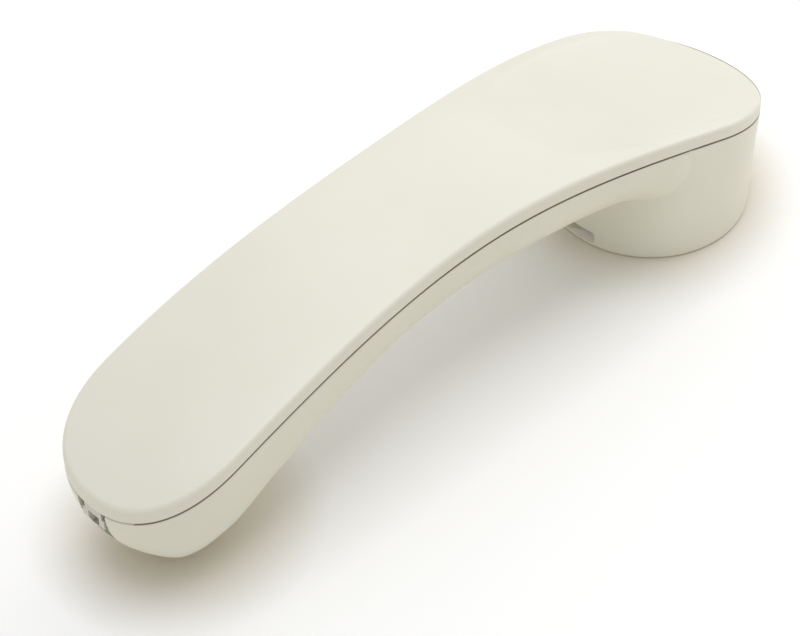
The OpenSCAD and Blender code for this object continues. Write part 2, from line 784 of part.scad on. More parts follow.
// ---- Leads ----
function along(p, t) = let (i = min(len(p) - 2, floor(t)), u = t - i,
    a = p[max(0, i - 1)], b = p[i], c = p[i + 1], d = p[min(len(p) - 1, i + 2)])
    0.5 * (2 * b + (c - a) * u + (2 * a - 5 * b + 4 * c - d) * u * u
        + (3 * b - a - 3 * c + d) * u * u * u);
function sideways(t, s) = let (v = s - t * (s * t)) v / norm(v);
function carried(ts, s, i) = i == len(ts) ? [] : let (v = sideways(ts[i], s))
    concat([v], carried(ts, v, i + 1));

// Round lead swept along a smooth path through the given points
module lead(points, rings) {
    c = 8;
    path = [for (k = [0:rings - 1]) along(points, (len(points) - 1) * k / (rings - 1))];
    ts = [for (k = [0:rings - 1]) let (v = path[min(rings - 1, k + 1)] - path[max(0, k - 1)])
        v / norm(v)];
    ss = carried(ts, [0, 1, 0.1], 0);
    pts = [for (k = [0:rings - 1]) for (j = [0:c - 1]) let (a = 360 * j / c)
        path[k] + lead_d / 2 * (ss[k] * cos(a) + cross(ts[k], ss[k]) * sin(a))];
    polyhedron(pts, concat([[for (j = [0:c - 1]) j]],
        [for (k = [0:rings - 2]) for (j = [0:c - 1]) let (n = (j + 1) % c)
            each [[k * c + j, k * c + c + n, k * c + n], [k * c + j, k * c + c + j, k * c + c + n]]],
        [[for (j = [c - 1:-1:0]) (rings - 1) * c + j]]));
}

tail_x = space_back + 4.6;
mic_top = mic_z + mic_h + 0.75;
lug_x = cup_x + board_x;
lug_top = lug_z + 1.4;
run_z = bar_z + pad_t + bar_t + 0.9;
rise = mouth_cap_x + 14;
post_x = screw_xs[1];

module lead_black() {
    color("#222222")
        lead([[tail_x, -0.7, contact_z], [tail_x + 2.4, -0.4, contact_z + 0.3],
            [mic_x + 0.7, 0.4, contact_z - 0.8], [mic_x + 1.3, 1.2, mic_top + 2],
            [mic_x, pad_y, mic_top]], 10);
}

module lead_yellow() {
    color("gold")
        lead([[tail_x, -2.1, contact_z], [tail_x + 2.4, -2.5, contact_z + 0.3],
            [mic_x + 0.7, -2.6, contact_z - 0.8], [mic_x + 1.3, -2, mic_top + 2],
            [mic_x, -pad_y, mic_top]], 10);
}

module lead_red() {
    color("firebrick")
        lead([[tail_x, 0.7, contact_z], [mic_x - 2.2, 0.9, contact_z + 1.6],
            [mic_x + 2.5, 0.2, contact_z + 7], [mic_x + 9, -3, socket_top + 4],
            [rise, -6.6, run_z - 7.5], [rise + 16, -8, run_z - 3.5],
            [bar_x - bar_l / 2 + 2, -8.2, run_z], [bar_x, -8.2, run_z],
            [bar_x + bar_l / 2 + 2, -8.2, run_z], [post_x + 6, -8, run_z - 3],
            [lug_x - 9, -7, run_z - 9], [lug_x - 3, -5.6, lug_top + 9],
            [lug_x, -4.2, lug_top + 3.4], [lug_x, -lug_y, lug_top]], 32);
}

module lead_green() {
    color("seagreen")
        lead([[tail_x, 2.1, contact_z], [mic_x - 2.2, 2.6, contact_z + 1.8],
            [mic_x + 3, 2.2, contact_z + 7.4], [mic_x + 10, -1, socket_top + 5.4],
            [rise, -4.9, run_z - 6.2], [rise + 16, -6.2, run_z - 2],
            [bar_x - bar_l / 2 + 2, -6.5, run_z + 0.1], [bar_x, -6.5, run_z + 0.1],
            [bar_x + bar_l / 2 + 2, -6.4, run_z + 0.2], [post_x + 6, -6.2, run_z - 2.2],
            [lug_x - 8, -4, run_z - 7], [lug_x - 2.5, 0.8, lug_top + 11],
            [lug_x - 0.5, 3.6, lug_top + 4.4], [lug_x, lug_y, lug_top]], 32);
}

back_cover();
front_cover();
cover_screws();
cord_socket_housing();
cord_socket_contacts();
cord_socket_carrier();
cord_socket_tails();
microphone_capsule();
microphone_boot();
microphone_cloth();
receiver_gasket();
receiver_cloth();
receiver_front_plate();
receiver_spacer_ring();
receiver_diaphragm();
receiver_voice_coil();
receiver_basket();
receiver_pole_plate();
receiver_magnet();
receiver_yoke();
receiver_terminal_board();
receiver_lugs();
click_suppressor();
receiver_clamp();
receiver_clamp_screws();
ballast_bar();
ballast_pad();
lead_black();
lead_yellow();
lead_red();
lead_green();
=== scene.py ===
import math

import bmesh
import bpy
import numpy as np
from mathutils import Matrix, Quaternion, Vector


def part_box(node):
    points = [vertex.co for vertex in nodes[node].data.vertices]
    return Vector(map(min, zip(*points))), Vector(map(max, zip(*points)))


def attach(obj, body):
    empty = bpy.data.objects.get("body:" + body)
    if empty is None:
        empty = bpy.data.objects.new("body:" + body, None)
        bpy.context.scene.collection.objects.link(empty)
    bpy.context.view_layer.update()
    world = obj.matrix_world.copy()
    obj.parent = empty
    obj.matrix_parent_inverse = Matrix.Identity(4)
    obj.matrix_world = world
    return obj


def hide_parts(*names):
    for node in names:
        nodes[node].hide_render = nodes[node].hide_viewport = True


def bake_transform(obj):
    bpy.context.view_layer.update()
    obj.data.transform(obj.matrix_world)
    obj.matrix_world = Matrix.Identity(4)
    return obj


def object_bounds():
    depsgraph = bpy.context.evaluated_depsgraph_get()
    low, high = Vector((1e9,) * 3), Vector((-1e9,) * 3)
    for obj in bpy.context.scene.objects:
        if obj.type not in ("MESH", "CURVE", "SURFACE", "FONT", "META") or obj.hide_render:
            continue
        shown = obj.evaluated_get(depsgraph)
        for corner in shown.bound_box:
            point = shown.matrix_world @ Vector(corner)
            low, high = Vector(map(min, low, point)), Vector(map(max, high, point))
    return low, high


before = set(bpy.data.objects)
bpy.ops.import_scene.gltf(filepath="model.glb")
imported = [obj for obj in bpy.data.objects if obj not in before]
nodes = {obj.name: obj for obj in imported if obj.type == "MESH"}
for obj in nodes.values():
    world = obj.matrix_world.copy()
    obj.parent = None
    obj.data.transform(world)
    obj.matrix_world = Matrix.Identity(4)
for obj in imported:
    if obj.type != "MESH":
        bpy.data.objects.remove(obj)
cad_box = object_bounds()

# ---- Back cover ----
# The back of the handset is one glossy ivory moulding, waisted in plan and bowed along its
# length. Its edge is rolled over to an upright band that ends at the seam, and a shallow
# spoon-shaped hollow for the fingers is sunk in the back of the ear end.
MM = 0.001
LENGTH = (cad_box[1].x - cad_box[0].x) / MM
EAR_W = (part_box("back_cover")[1].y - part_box("back_cover")[0].y) / MM
MOUTH_W = 42.5
GRIP_W = 40.3
HALF_L = LENGTH / 2
MOUTH_CAP = 0.58 * MOUTH_W
EAR_CAP = 0.65 * EAR_W
MOUTH_CAP_X = MOUTH_CAP - HALF_L
EAR_CAP_X = HALF_L - EAR_CAP
MOUTH_POWER = 2.3
WAIST_X = 3.2
EDGE_H = 2.85
EDGE_R = 1.1
CROWN = 1.0
SEAM_CREST = cad_box[1].z / MM - EDGE_H - EDGE_R - CROWN
MOUTH_SEAM_Z, EAR_SEAM_Z = 25.1, 20.4
MOUTH_SAG = SEAM_CREST - MOUTH_SEAM_Z
EAR_SAG = SEAM_CREST - EAR_SEAM_Z
SEAM_ROOT = (math.sqrt(MOUTH_SAG) + math.sqrt(EAR_SAG)) / LENGTH
CREST_X = math.sqrt(MOUTH_SAG) / SEAM_ROOT - HALF_L
SEAM_GAP = 0.45
WALL = 2.2
OUTER_SKIN, INNER_SKIN = 0.6 * WALL, 0.5 * WALL
EDGE_R_LEAST = 0.1
ROOM_DEPTH = 30.0
HOLLOW_DEPTH = 2.4
HOLLOW_X = EAR_CAP_X - 3.4
HOLLOW_A = 43.5
HOLLOW_B = 0.432 * EAR_W
HOLLOW_POWER = 2.6
HOLLOW_FALL = 0.85
LIP_T = 1.0
LIP_H = 0.9
LIP_R = 0.15
OUTER_POINTS, INNER_POINTS = 640, 300
SHARP_ABOVE = math.radians(32)
IVORY = (0.775, 0.76, 0.665)
IVORY_DEEP = (0.755, 0.738, 0.638)
# The seam's dark colours are old dirt and painted shade in the gap between the covers.
DIRT_AND_SHADE = (0.34, 0.29, 0.21)
DIRT_AND_SHADE_DEEP = (0.25, 0.21, 0.15)
DIRT_AND_SHADE_EDGE = 0.05
SHADE_PER_M, GLOSS_PER_M, RIPPLE_PER_M, GRAIN_PER_M = 28, 90, 160, 3500


def cubic(a, b, slope_a, slope_b, h, t):
    """Cubic curve from value a to b over a span h, with the given slopes at its two ends."""
    return (a * (1 + 2 * t) * (1 - t) ** 2 + b * t * t * (3 - 2 * t)
            + h * t * (1 - t) * ((1 - t) * slope_a - t * slope_b))


def ease(t):
    """Share that rises smoothly from 0 to 1 while t does, flat at both ends."""
    t = np.clip(t, 0, 1)
    return t * t * (3 - 2 * t)


def half_width(x):
    """Half the cover's width at x on the waist: two cubics that meet at the waist."""
    a, b = WAIST_X - MOUTH_CAP_X, EAR_CAP_X - WAIST_X
    slope = (0.75 * ((GRIP_W - MOUTH_W) / a**2 + (EAR_W - GRIP_W) / b**2)
             / (1 / a + 1 / b))
    mouth = cubic(MOUTH_W / 2, GRIP_W / 2, 0, slope, a, (x - MOUTH_CAP_X) / a)
    ear = cubic(GRIP_W / 2, EAR_W / 2, slope, 0, b, (x - WAIST_X) / b)
    return np.where(x < WAIST_X, mouth, ear)


def cover_loop(count):
    """The covers' plan outline: points at even steps, anticlockwise from the mouth tip, their
    outward normals, and where on the middle line each is drawn toward. The mouth end is a
    superellipse, the ear end an ellipse, and the waist joins them."""
    a = np.linspace(0, np.pi / 2, 1500)
    cosine, sine = np.clip(np.cos(a), 0, 1), np.sin(a)
    mouth = np.stack([MOUTH_CAP_X - MOUTH_CAP * cosine ** (2 / MOUTH_POWER),
                      MOUTH_W / 2 * sine ** (2 / MOUTH_POWER)], 1)
    x = np.linspace(MOUTH_CAP_X, EAR_CAP_X, 3000)[1:-1]
    waist = np.stack([x, half_width(x)], 1)
    ear = np.stack([EAR_CAP_X + EAR_CAP * sine, EAR_W / 2 * cosine], 1)
    side = np.concatenate([mouth, waist, ear])
    side[-1, 1] = 0
    turn = np.concatenate([side * [1, -1], side[-2::-1]])
    run = np.concatenate([[0], np.cumsum(np.linalg.norm(np.diff(turn, axis=0), axis=1))])
    at = np.linspace(0, run[-1], count, endpoint=False)
    points = np.stack([np.interp(at, run, turn[:, k]) for k in (0, 1)], 1)
    along = np.roll(points, -1, 0) - np.roll(points, 1, 0)
    along /= np.linalg.norm(along, axis=1)[:, None]
    outward = np.stack([along[:, 1], -along[:, 0]], 1)
    return points, outward, np.clip(points[:, 0], MOUTH_CAP_X, EAR_CAP_X)


def inset(loop, d, f):
    """The outline moved inward by d, then a share f of the way to the middle line."""
    points, outward, middle = loop
    p = points - np.reshape(d, (-1, 1)) * outward
    return np.stack([p[:, 0] + (middle - p[:, 0]) * f, p[:, 1] * (1 - f)], 1)


def seam_z(x):
    """Height of the seam: a parabola with its crest near the middle of the grip."""
    return SEAM_CREST - (SEAM_ROOT * (x - CREST_X)) ** 2


def hollow(x, y):
    """Depth of the spoon hollow: a bowl on a squarish oval, with a soft brink at its rim."""
    bowl = np.clip(1 - np.abs((x - HOLLOW_X) / HOLLOW_A) ** HOLLOW_POWER
                   - np.abs(y / HOLLOW_B) ** HOLLOW_POWER, 0, 1)
    return HOLLOW_DEPTH * bowl**HOLLOW_FALL


def raised(p, z):
    """Points of a ring with their heights."""
    return np.column_stack([p, np.broadcast_to(z, len(p))])


def back_skin(loop, d):
    """Rings of the back, a distance d under its surface: from the middle line out along the
    crowned top, then down a quarter circle to the upright band. The hollow fades out over
    the upper half of the edge."""
    r = max(EDGE_R - d, EDGE_R_LEAST)
    rings = []
    for f in np.concatenate([np.linspace(1, 0.12, 44), [0.09, 0.06, 0.04, 0.02]]):
        p = inset(loop, d + r, f)
        top = seam_z(p[:, 0]) + EDGE_H + EDGE_R + CROWN * f * (2 - f) - hollow(*p.T)
        rings.append(raised(p, top - d))
    for a in np.radians(np.linspace(90, 6, 12)):
        p = inset(loop, d + r - r * math.cos(a), 0)
        rise = EDGE_H + EDGE_R - d - r + r * math.sin(a)
        sunk = hollow(*p.T) * max(0, 2 * rise / (EDGE_H + EDGE_R) - 1)
        rings.append(raised(p, seam_z(p[:, 0]) + rise - sunk))
    return rings


def seam_ring(loop, d, h):
    """A ring that follows the seam, d inside the outline and h above the seam."""
    p = inset(loop, d, 0)
    return raised(p, seam_z(p[:, 0]) + h)


def skin(name, rings, closed=False):
    """Object of quads between rings of one count. A ring drawn together to a point or a line
    closes the skin once its doubles are merged; closed joins the last ring to the first."""
    grid = np.stack(rings) * MM
    n, m = grid.shape[:2]
    r = np.arange(n if closed else n - 1)[:, None]
    c = np.arange(m)[None, :]
    below, beside = (r + 1) % n * m, (c + 1) % m
    faces = np.stack([r * m + c, below + c, below + beside, r * m + beside], -1)
    mesh = bpy.data.meshes.new(name)
    mesh.from_pydata(grid.reshape(-1, 3).tolist(), [], faces.reshape(-1, 4).tolist())
    shape = bmesh.new()
    shape.from_mesh(mesh)
    bmesh.ops.remove_doubles(shape, verts=shape.verts, dist=1e-8)
    shape.to_mesh(mesh)
    shape.free()
    piece = bpy.data.objects.new(name, mesh)
    bpy.context.collection.objects.link(piece)
    return piece


def worked(piece, how, tool):
    """The piece united with, cut by or cut down to another closed solid."""
    step = piece.modifiers.new("work", "BOOLEAN")
    step.operation = how
    step.solver = "MANIFOLD"
    step.object = tool
    bpy.context.view_layer.update()
    shaped = piece.evaluated_get(bpy.context.evaluated_depsgraph_get())
    mesh = bpy.data.meshes.new_from_object(shaped)
    piece.modifiers.clear()
    piece.data = mesh
    bpy.data.objects.remove(tool)
    return piece


def inside_of(name, room):
    """The part of a CAD node in a closed solid: its inner surface with the ribs and bosses."""
    shape = bmesh.new()
    shape.from_mesh(nodes[name].data)
    bmesh.ops.remove_doubles(shape, verts=shape.verts, dist=1e-6)
    mesh = bpy.data.meshes.new(name + "_inside")
    shape.to_mesh(mesh)
    shape.free()
    piece = bpy.data.objects.new(name + "_inside", mesh)
    bpy.context.collection.objects.link(piece)
    return worked(piece, "INTERSECT", room)


def finished(piece, material, body, node):
    """Shades a new piece smooth but for its corners, and hands it to the frame. A piece given
    no body rides on none."""
    piece.data.materials.clear()
    piece.data.materials.append(material)
    piece.data.shade_smooth()
    piece.data.set_sharp_from_angle(angle=SHARP_ABOVE)
    if body:
        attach(piece, body)
    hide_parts(node)


def new_finish(name):
    """A material, its node tree, its shader and the place on the object."""
    material = bpy.data.materials.new(name)
    material.use_nodes = True
    tree = material.node_tree
    place = tree.nodes.new("ShaderNodeTexCoord").outputs["Object"]
    return material, tree, tree.nodes["Principled BSDF"], place


def tinted(tree, shader, pattern, dark, light, start=0.0, end=1.0):
    """Colour that goes from dark to light while a pattern goes from start to end."""
    shades = tree.nodes.new("ShaderNodeValToRGB")
    for stop, at, colour in zip(shades.color_ramp.elements, (start, end), (dark, light)):
        stop.position = at
        stop.color = (*colour, 1)
    tree.links.new(pattern, shades.inputs["Fac"])
    tree.links.new(shades.outputs["Color"], shader.inputs["Base Color"])


def polished(tree, shader, pattern, rough, drift):
    """Roughness that drifts either way of its middle value with a pattern."""
    gloss = tree.nodes.new("ShaderNodeMapRange")
    gloss.inputs["To Min"].default_value = rough - drift
    gloss.inputs["To Max"].default_value = rough + drift
    tree.links.new(pattern, gloss.inputs["Value"])
    tree.links.new(gloss.outputs["Result"], shader.inputs["Roughness"])


def dented(tree, shader, pattern, height, under=None):
    """Relief of a pattern with its height in millimetres, on top of what is under it."""
    bump = tree.nodes.new("ShaderNodeBump")
    bump.inputs["Strength"].default_value = 1
    bump.inputs["Distance"].default_value = height * MM
    tree.links.new(pattern, bump.inputs["Height"])
    if under:
        tree.links.new(under, bump.inputs["Normal"])
    tree.links.new(bump.outputs["Normal"], shader.inputs["Normal"])
    return bump.outputs["Normal"]


def moulded(name, light, deep, rough, rough_drift, ripple, grain):
    """Moulded plastic: the colour drifts between two close shades in patches of a few
    centimetres, the gloss drifts by a finer noise, and the skin has a slow ripple from the
    mould and a fine grain, both heights in millimetres."""
    material, tree, shader, place = new_finish(name)

    def noise(per_metre, detail):
        """Noise with that many features in a metre and that many finer octaves."""
        texture = tree.nodes.new("ShaderNodeTexNoise")
        texture.inputs["Scale"].default_value = per_metre
        texture.inputs["Detail"].default_value = detail
        tree.links.new(place, texture.inputs["Vector"])
        return texture.outputs["Fac"]

    tinted(tree, shader, noise(SHADE_PER_M, 3), deep, light, 0.35, 0.65)
    polished(tree, shader, noise(GLOSS_PER_M, 5), rough, rough_drift)
    rippled = dented(tree, shader, noise(RIPPLE_PER_M, 0), ripple)
    dented(tree, shader, noise(GRAIN_PER_M, 2), grain, rippled)
    return material


cover_plastic = moulded("cover_plastic", IVORY, IVORY_DEEP, 0.32, 0.03, 0.006, 0.0004)
# Dark finish for the seam gap: old dirt and painted shade between the two covers.
seam_dirt_and_shade = moulded("seam_dirt_and_shade", DIRT_AND_SHADE, DIRT_AND_SHADE_DEEP, 0.6, 0.05, 0.01, 0.002)


def dirtied_and_shaded(piece):
    """Old dirt and painted shade in the seam gap: faces take the dark finish whose middle lies
    between the two covers' edges, and whose corners all lie between the lower edge and the
    tongue's top."""

    def above_seam(at):
        """Heights over the seam, in millimetres, of points that are given in metres."""
        x, z = at.reshape(-1, 3)[:, 0] / MM, at.reshape(-1, 3)[:, 2] / MM
        return z - seam_z(x)

    mesh = piece.data
    middle, place = np.empty(3 * len(mesh.polygons)), np.empty(3 * len(mesh.vertices))
    corner, first = (np.empty(len(part), np.int32) for part in (mesh.loops, mesh.polygons))
    mesh.polygons.foreach_get("center", middle)
    mesh.vertices.foreach_get("co", place)
    mesh.loops.foreach_get("vertex_index", corner)
    mesh.polygons.foreach_get("loop_start", first)
    low, high, rise = -SEAM_GAP / 2 - DIRT_AND_SHADE_EDGE, LIP_H + DIRT_AND_SHADE_EDGE, above_seam(place)
    near = np.logical_and.reduceat(((rise > low) & (rise < high))[corner], first)
    inside = near & (np.abs(above_seam(middle)) < -low)
    mesh.materials.append(seam_dirt_and_shade)
    mesh.polygons.foreach_set("material_index", inside.astype(np.int32))


outer_loop = cover_loop(OUTER_POINTS)
back_rings = back_skin(outer_loop, 0)
for h in np.linspace(EDGE_H, SEAM_GAP / 2 + LIP_R, 5):
    back_rings.append(seam_ring(outer_loop, 0, h))
for a in np.radians(np.linspace(22.5, 90, 4)):
    back_rings.append(seam_ring(outer_loop, LIP_R * (1 - math.cos(a)),
                                SEAM_GAP / 2 + LIP_R * (1 - math.sin(a))))
for d, h in ((LIP_T, SEAM_GAP / 2), (LIP_T, LIP_H), (OUTER_SKIN, LIP_H)):
    back_rings.append(seam_ring(outer_loop, d, h))
back_rings += back_skin(outer_loop, OUTER_SKIN)[::-1]
back_shell = skin("back_shell", back_rings)
# Inside the outer skin the cover has the CAD's own inner surface, with its ribs and bosses.
inner_loop = cover_loop(INNER_POINTS)
room = back_skin(inner_loop, INNER_SKIN)
room += [seam_ring(inner_loop, INNER_SKIN + 1, LIP_H),
         seam_ring(inner_loop, INNER_SKIN + 1.2, -ROOM_DEPTH),
         raised(inset(inner_loop, 0, 1), seam_z(inner_loop[2]) - ROOM_DEPTH - 2)]
worked(back_shell, "UNION", inside_of("back_cover", skin("back_room", room)))
finished(back_shell, cover_plastic, "handset", "back_cover")
# The seam gap's faces get the dark finish: dirt and painted shade.
dirtied_and_shaded(back_shell)

# ---- Front cover ----
# The front cover is the second ivory moulding: a tub under the grip and mouth, whose rounded
# section thins toward the middle, and a round ear cup with a slight draft. A tongue round its
# top edge stands inside the back cover, and two bosses hold the screws.
CLEAR = 26.9
CUP_R = (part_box("front_cover")[1].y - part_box("front_cover")[0].y) / 2 / MM
CUP_X = HALF_L - 30
FOOT_R = 1.0
FACE_T = 4.2
TUCK = 0.8
TUCK_DROP = 0.03
CUP_BACK_POWER = 4.0
CUP_SIDES, CUP_STEPS, TUB_STEPS, ROOM_STEPS = 360, 40, 60, 24
CUP_LID_IN = 3.4
OPEN_UP, SKIN_UP, INNER_UP = 4.0, -2.2, -2.0
SKIN_FLOOR, INNER_FLOOR = FACE_T - 1.0, FACE_T - 1.5
TONGUE_PLAY, TONGUE_LOW, TONGUE_IN = 0.2, -1.0, WALL + 0.8
RIM_IN_R = 20.5
DISH_MID_Z, DISH_BRINK_Z, DISH_EDGE_Z = 2.0, 1.6, 1.2
DISH_BRINK_W, DISH_ROLL_W = 6.0, 1.6
BORE_LOW, EAR_BORE_TOP, MIC_BORE_TOP = -1.0, 7.0, 5.0
HOOK_W, HOOK_H, HOOK_Z, HOOK_DEPTH = 9.6, 3.4, 1.3, 4.8
HOOK_R = 1.2
EAR_HOLE_R, EAR_HOLE_D = 10.8, 2.2
MIC_X = 23 - HALF_L
MIC_HOLE_RING, MIC_HOLE_D = 3.0, 1.6
SCREW_XS = (MOUTH_CAP_X + 40, 36.0)
SCREW_SEAT, SCREW_BOSS_H = 4.0, 8.0
SCREW_HEAD_D, SCREW_HEAD_PLAY = 5.6, 1.0
SCREW_D, SCREW_PLAY = 2.9, 0.5
RECUT = 0.02
SOCKET_W, SOCKET_LOW, SOCKET_DEPTH = 8.95, 14.5, 6.0
UNDER = np.array([
    (-HALF_L, 0), (MOUTH_CAP_X, 0), (MOUTH_CAP_X + 14, 0.415), (MOUTH_CAP_X + 30, 0.737),
    (MOUTH_CAP_X + 55, 0.946), (0, 1), (25, 0.933), (50, 0.688), (75, 0.446), (HALF_L, 0.446)])
SECTION = np.array([
    (-HALF_L, 1.82), (10 - HALF_L, 2.15), (MOUTH_CAP_X, 2.05), (MOUTH_CAP_X + 20, 2.6),
    (MOUTH_CAP_X + 60, 2.24), (20, 2.24), (45, 2.04), (60, 2.9), (HALF_L, 2.9)])


def through(stations, x):
    """Smooth curve through stations of position and value: cubics with the harmonic mean of
    the neighbouring slopes at each station, so that no stretch overshoots."""
    at, value = stations.T
    step = np.diff(value) / np.diff(at)
    a, b = step[:-1], step[1:]
    total = np.where(a + b == 0, 1, a + b)
    slope = np.concatenate([[0], np.where(a * b <= 0, 0, 2 * a * b / total), [0]])
    k = np.clip(np.searchsorted(at, x) - 1, 0, len(at) - 2)
    h = at[k + 1] - at[k]
    t = np.clip((x - at[k]) / h, 0, 1)
    return cubic(value[k], value[k + 1], slope[k], slope[k + 1], h, t)


def under_z(x):
    """Height of the underside along the middle line."""
    return CLEAR * through(UNDER, x)


def tuck(x):
    """Share by which the tub is drawn inside the ear cup, which carries the surface there."""
    return ease((x - EAR_CAP_X + 16) / 12)


def tub(name, loop, d, up, steps):
    """The tub as a solid, d inside its surface: a lid at the seam, raised by up, and sections
    of a superellipse from the seam down to the middle of the underside."""
    x = loop[0][:, 0]
    inward = d + TUCK * tuck(x)
    rim = inset(loop, inward, 0)
    lid = raised(rim, seam_z(x) + up - TUCK_DROP * tuck(x))
    middle = raised(inset(loop, 0, 1), seam_z(loop[2]) + up)
    rings = [middle, lid]
    power = 2 / through(SECTION, x)
    for a in np.radians(np.linspace(1.5, 90, steps)):
        f = 1 - max(0, math.cos(a)) ** power
        s = math.sin(a) ** power
        p = inset(loop, inward, f)
        rings.append(raised(p, seam_z(x) * (1 - s) + (under_z(p[:, 0]) + d) * s))
    return skin(name, rings)


def cup_ring(d, k, up, low):
    """Ring of the ear cup's wall, d inside it and a share k of the way up from its round
    floor to the cover's outline at the seam. The back half of the top ring is a superellipse
    by its polar radius, which stays with the outline before it turns in across the grip."""
    a = np.linspace(0, 2 * np.pi, CUP_SIDES, endpoint=False)
    back = EAR_CAP_X - CUP_X + CUP_R
    full = (np.abs(np.cos(a) / back) ** CUP_BACK_POWER
            + np.abs(np.sin(a) / (EAR_W / 2)) ** CUP_BACK_POWER) ** (-1 / CUP_BACK_POWER)
    ahead = np.cos(a) > 0
    top = np.stack([EAR_CAP_X + np.where(ahead, EAR_CAP, full) * np.cos(a),
                    np.where(ahead, EAR_W / 2, full) * np.sin(a)], 1)
    along = np.roll(top, -1, 0) - np.roll(top, 1, 0)
    along /= np.linalg.norm(along, axis=1)[:, None]
    top -= d * np.stack([along[:, 1], -along[:, 0]], 1)
    floor = np.stack([CUP_X + (CUP_R - d) * np.cos(a), (CUP_R - d) * np.sin(a)], 1)
    high = seam_z(top[:, 0]) + up - TUCK_DROP * (1 - tuck(top[:, 0]))
    return raised(floor * (1 - k) + top * k, low * (1 - k) + high * k)


def turned(name, profile, x, y, count):
    """Solid of revolution round an upright axis at x, y, from (radius, height) points that
    run from its top middle out and down to its bottom middle."""
    a = np.linspace(0, 2 * np.pi, count, endpoint=False)
    return skin(name, [np.stack([x + r * np.cos(a), y + r * np.sin(a), np.full(count, z)], 1)
                       for r, z in profile])


def joined(*pieces):
    """One object of several that don't touch."""
    shape = bmesh.new()
    for piece in pieces:
        shape.from_mesh(piece.data)
    shape.to_mesh(pieces[0].data)
    shape.free()
    for piece in pieces[1:]:
        bpy.data.objects.remove(piece)
    return pieces[0]


def drilled(holes, d, low, high, sides=48):
    """Plain round bars of one diameter between two heights, to bore holes with."""
    return joined(*[turned("bar", [(0, high), (d / 2, high), (d / 2, low), (0, low)],
                           x, y, sides) for x, y in holes])


def block(name, low, high):
    """Box between two corners, as four upright edges drawn together at top and bottom."""
    (x0, y0, z0), (x1, y1, z1) = low, high
    plan = np.array([[x0, y0], [x1, y0], [x1, y1], [x0, y1]])
    middle = np.tile(plan.mean(0), (4, 1))
    return skin(name, [raised(middle, z1), raised(plan, z1), raised(plan, z0),
                       raised(middle, z0)])


front_shell = tub("front_shell", outer_loop, 0, -SEAM_GAP / 2, TUB_STEPS)
cup_mid = raised(np.tile([CUP_X, 0.0], (CUP_SIDES, 1)), 0)
lifted = np.array([0, 0, 1])
cup_rings = [cup_mid + (seam_z(CUP_X) - SEAM_GAP) * lifted,
             cup_ring(CUP_LID_IN, 1, -SEAM_GAP / 2, 0)]
for k in np.linspace(1, 0, CUP_STEPS):
    cup_rings.append(cup_ring(0, k, -SEAM_GAP / 2, FOOT_R))
for a in np.radians(np.linspace(15, 90, 6)):
    cup_rings.append(cup_ring(FOOT_R * (1 - math.cos(a)), 0, 0, FOOT_R * (1 - math.sin(a))))
cup_rings.append(cup_mid)
worked(front_shell, "UNION", skin("cup", cup_rings))
tongue = [seam_ring(outer_loop, d, h) for d, h in (
    (LIP_T + TONGUE_PLAY, LIP_H - TONGUE_PLAY), (LIP_T + TONGUE_PLAY, TONGUE_LOW),
    (TONGUE_IN, TONGUE_LOW), (TONGUE_IN, LIP_H - TONGUE_PLAY))]
worked(front_shell, "UNION", skin("tongue", tongue, closed=True))


def cup_room(d, up, low):
    """Space in the ear cup, d inside its wall, from a level floor up to the seam or past it."""
    return skin("cup_room", [
        cup_mid + (seam_z(CUP_X) + up) * lifted, cup_ring(d, 1, up, low),
        cup_ring(d, 0, 0, low), cup_mid + low * lifted])


# The wall keeps its full thickness near the seam. Lower down only its outer skin is left, and
# the CAD's own inner surface, with its ribs and bosses, goes in behind it.
for d, up, low in ((WALL, OPEN_UP, FACE_T), (OUTER_SKIN, SKIN_UP, SKIN_FLOOR)):
    worked(front_shell, "DIFFERENCE", tub("tub_room", inner_loop, d, up, ROOM_STEPS))
    worked(front_shell, "DIFFERENCE", cup_room(d, up, low))
room = worked(tub("tub_room", inner_loop, INNER_SKIN, INNER_UP, ROOM_STEPS), "UNION",
              cup_room(INNER_SKIN, INNER_UP, INNER_FLOOR))
worked(front_shell, "UNION", inside_of("front_cover", room))
recess = [(0, DISH_MID_Z), (RIM_IN_R - DISH_BRINK_W, DISH_BRINK_Z)]
recess += [(RIM_IN_R - DISH_BRINK_W + (DISH_BRINK_W - DISH_ROLL_W) * s,
            DISH_BRINK_Z - (DISH_BRINK_Z - DISH_EDGE_Z) * s * s)
           for s in np.linspace(0.2, 1, 5)]
recess += [(RIM_IN_R - DISH_ROLL_W + DISH_ROLL_W * math.sin(a), DISH_EDGE_Z * math.cos(a))
           for a in np.radians(np.linspace(15, 90, 6))]
recess += [(RIM_IN_R + 0.6, BORE_LOW), (0, BORE_LOW)]
worked(front_shell, "DIFFERENCE", turned("recess", recess, CUP_X, 0, 240))


def ring_of(r, count, turn):
    """Centres of holes at even steps round a circle, the first at an angle of turn."""
    steps = [turn + 2 * math.pi * k / count for k in range(count)]
    return [(r * math.cos(a), r * math.sin(a)) for a in steps]


ear_holes = [(0, 0), *ring_of(EAR_HOLE_R / 2, 6, 0), *ring_of(EAR_HOLE_R, 12, math.pi / 12)]
mic_holes = [(0, 0), *ring_of(MIC_HOLE_RING, 6, 0)]
worked(front_shell, "DIFFERENCE",
       drilled([(CUP_X + x, y) for x, y in ear_holes], EAR_HOLE_D + RECUT,
               BORE_LOW, EAR_BORE_TOP))
worked(front_shell, "DIFFERENCE",
       drilled([(MIC_X + x, y) for x, y in mic_holes], MIC_HOLE_D + RECUT,
               BORE_LOW, MIC_BORE_TOP))
for x in SCREW_XS:
    seat = under_z(x) + SCREW_BOSS_H - SCREW_SEAT
    worked(front_shell, "DIFFERENCE",
           drilled([(x, 0)], SCREW_HEAD_D + SCREW_HEAD_PLAY + RECUT, BORE_LOW, seat))
    worked(front_shell, "DIFFERENCE",
           drilled([(x, 0)], SCREW_D + SCREW_PLAY + RECUT, 0, SEAM_CREST))
across = np.radians(np.linspace(0, 90, 9))
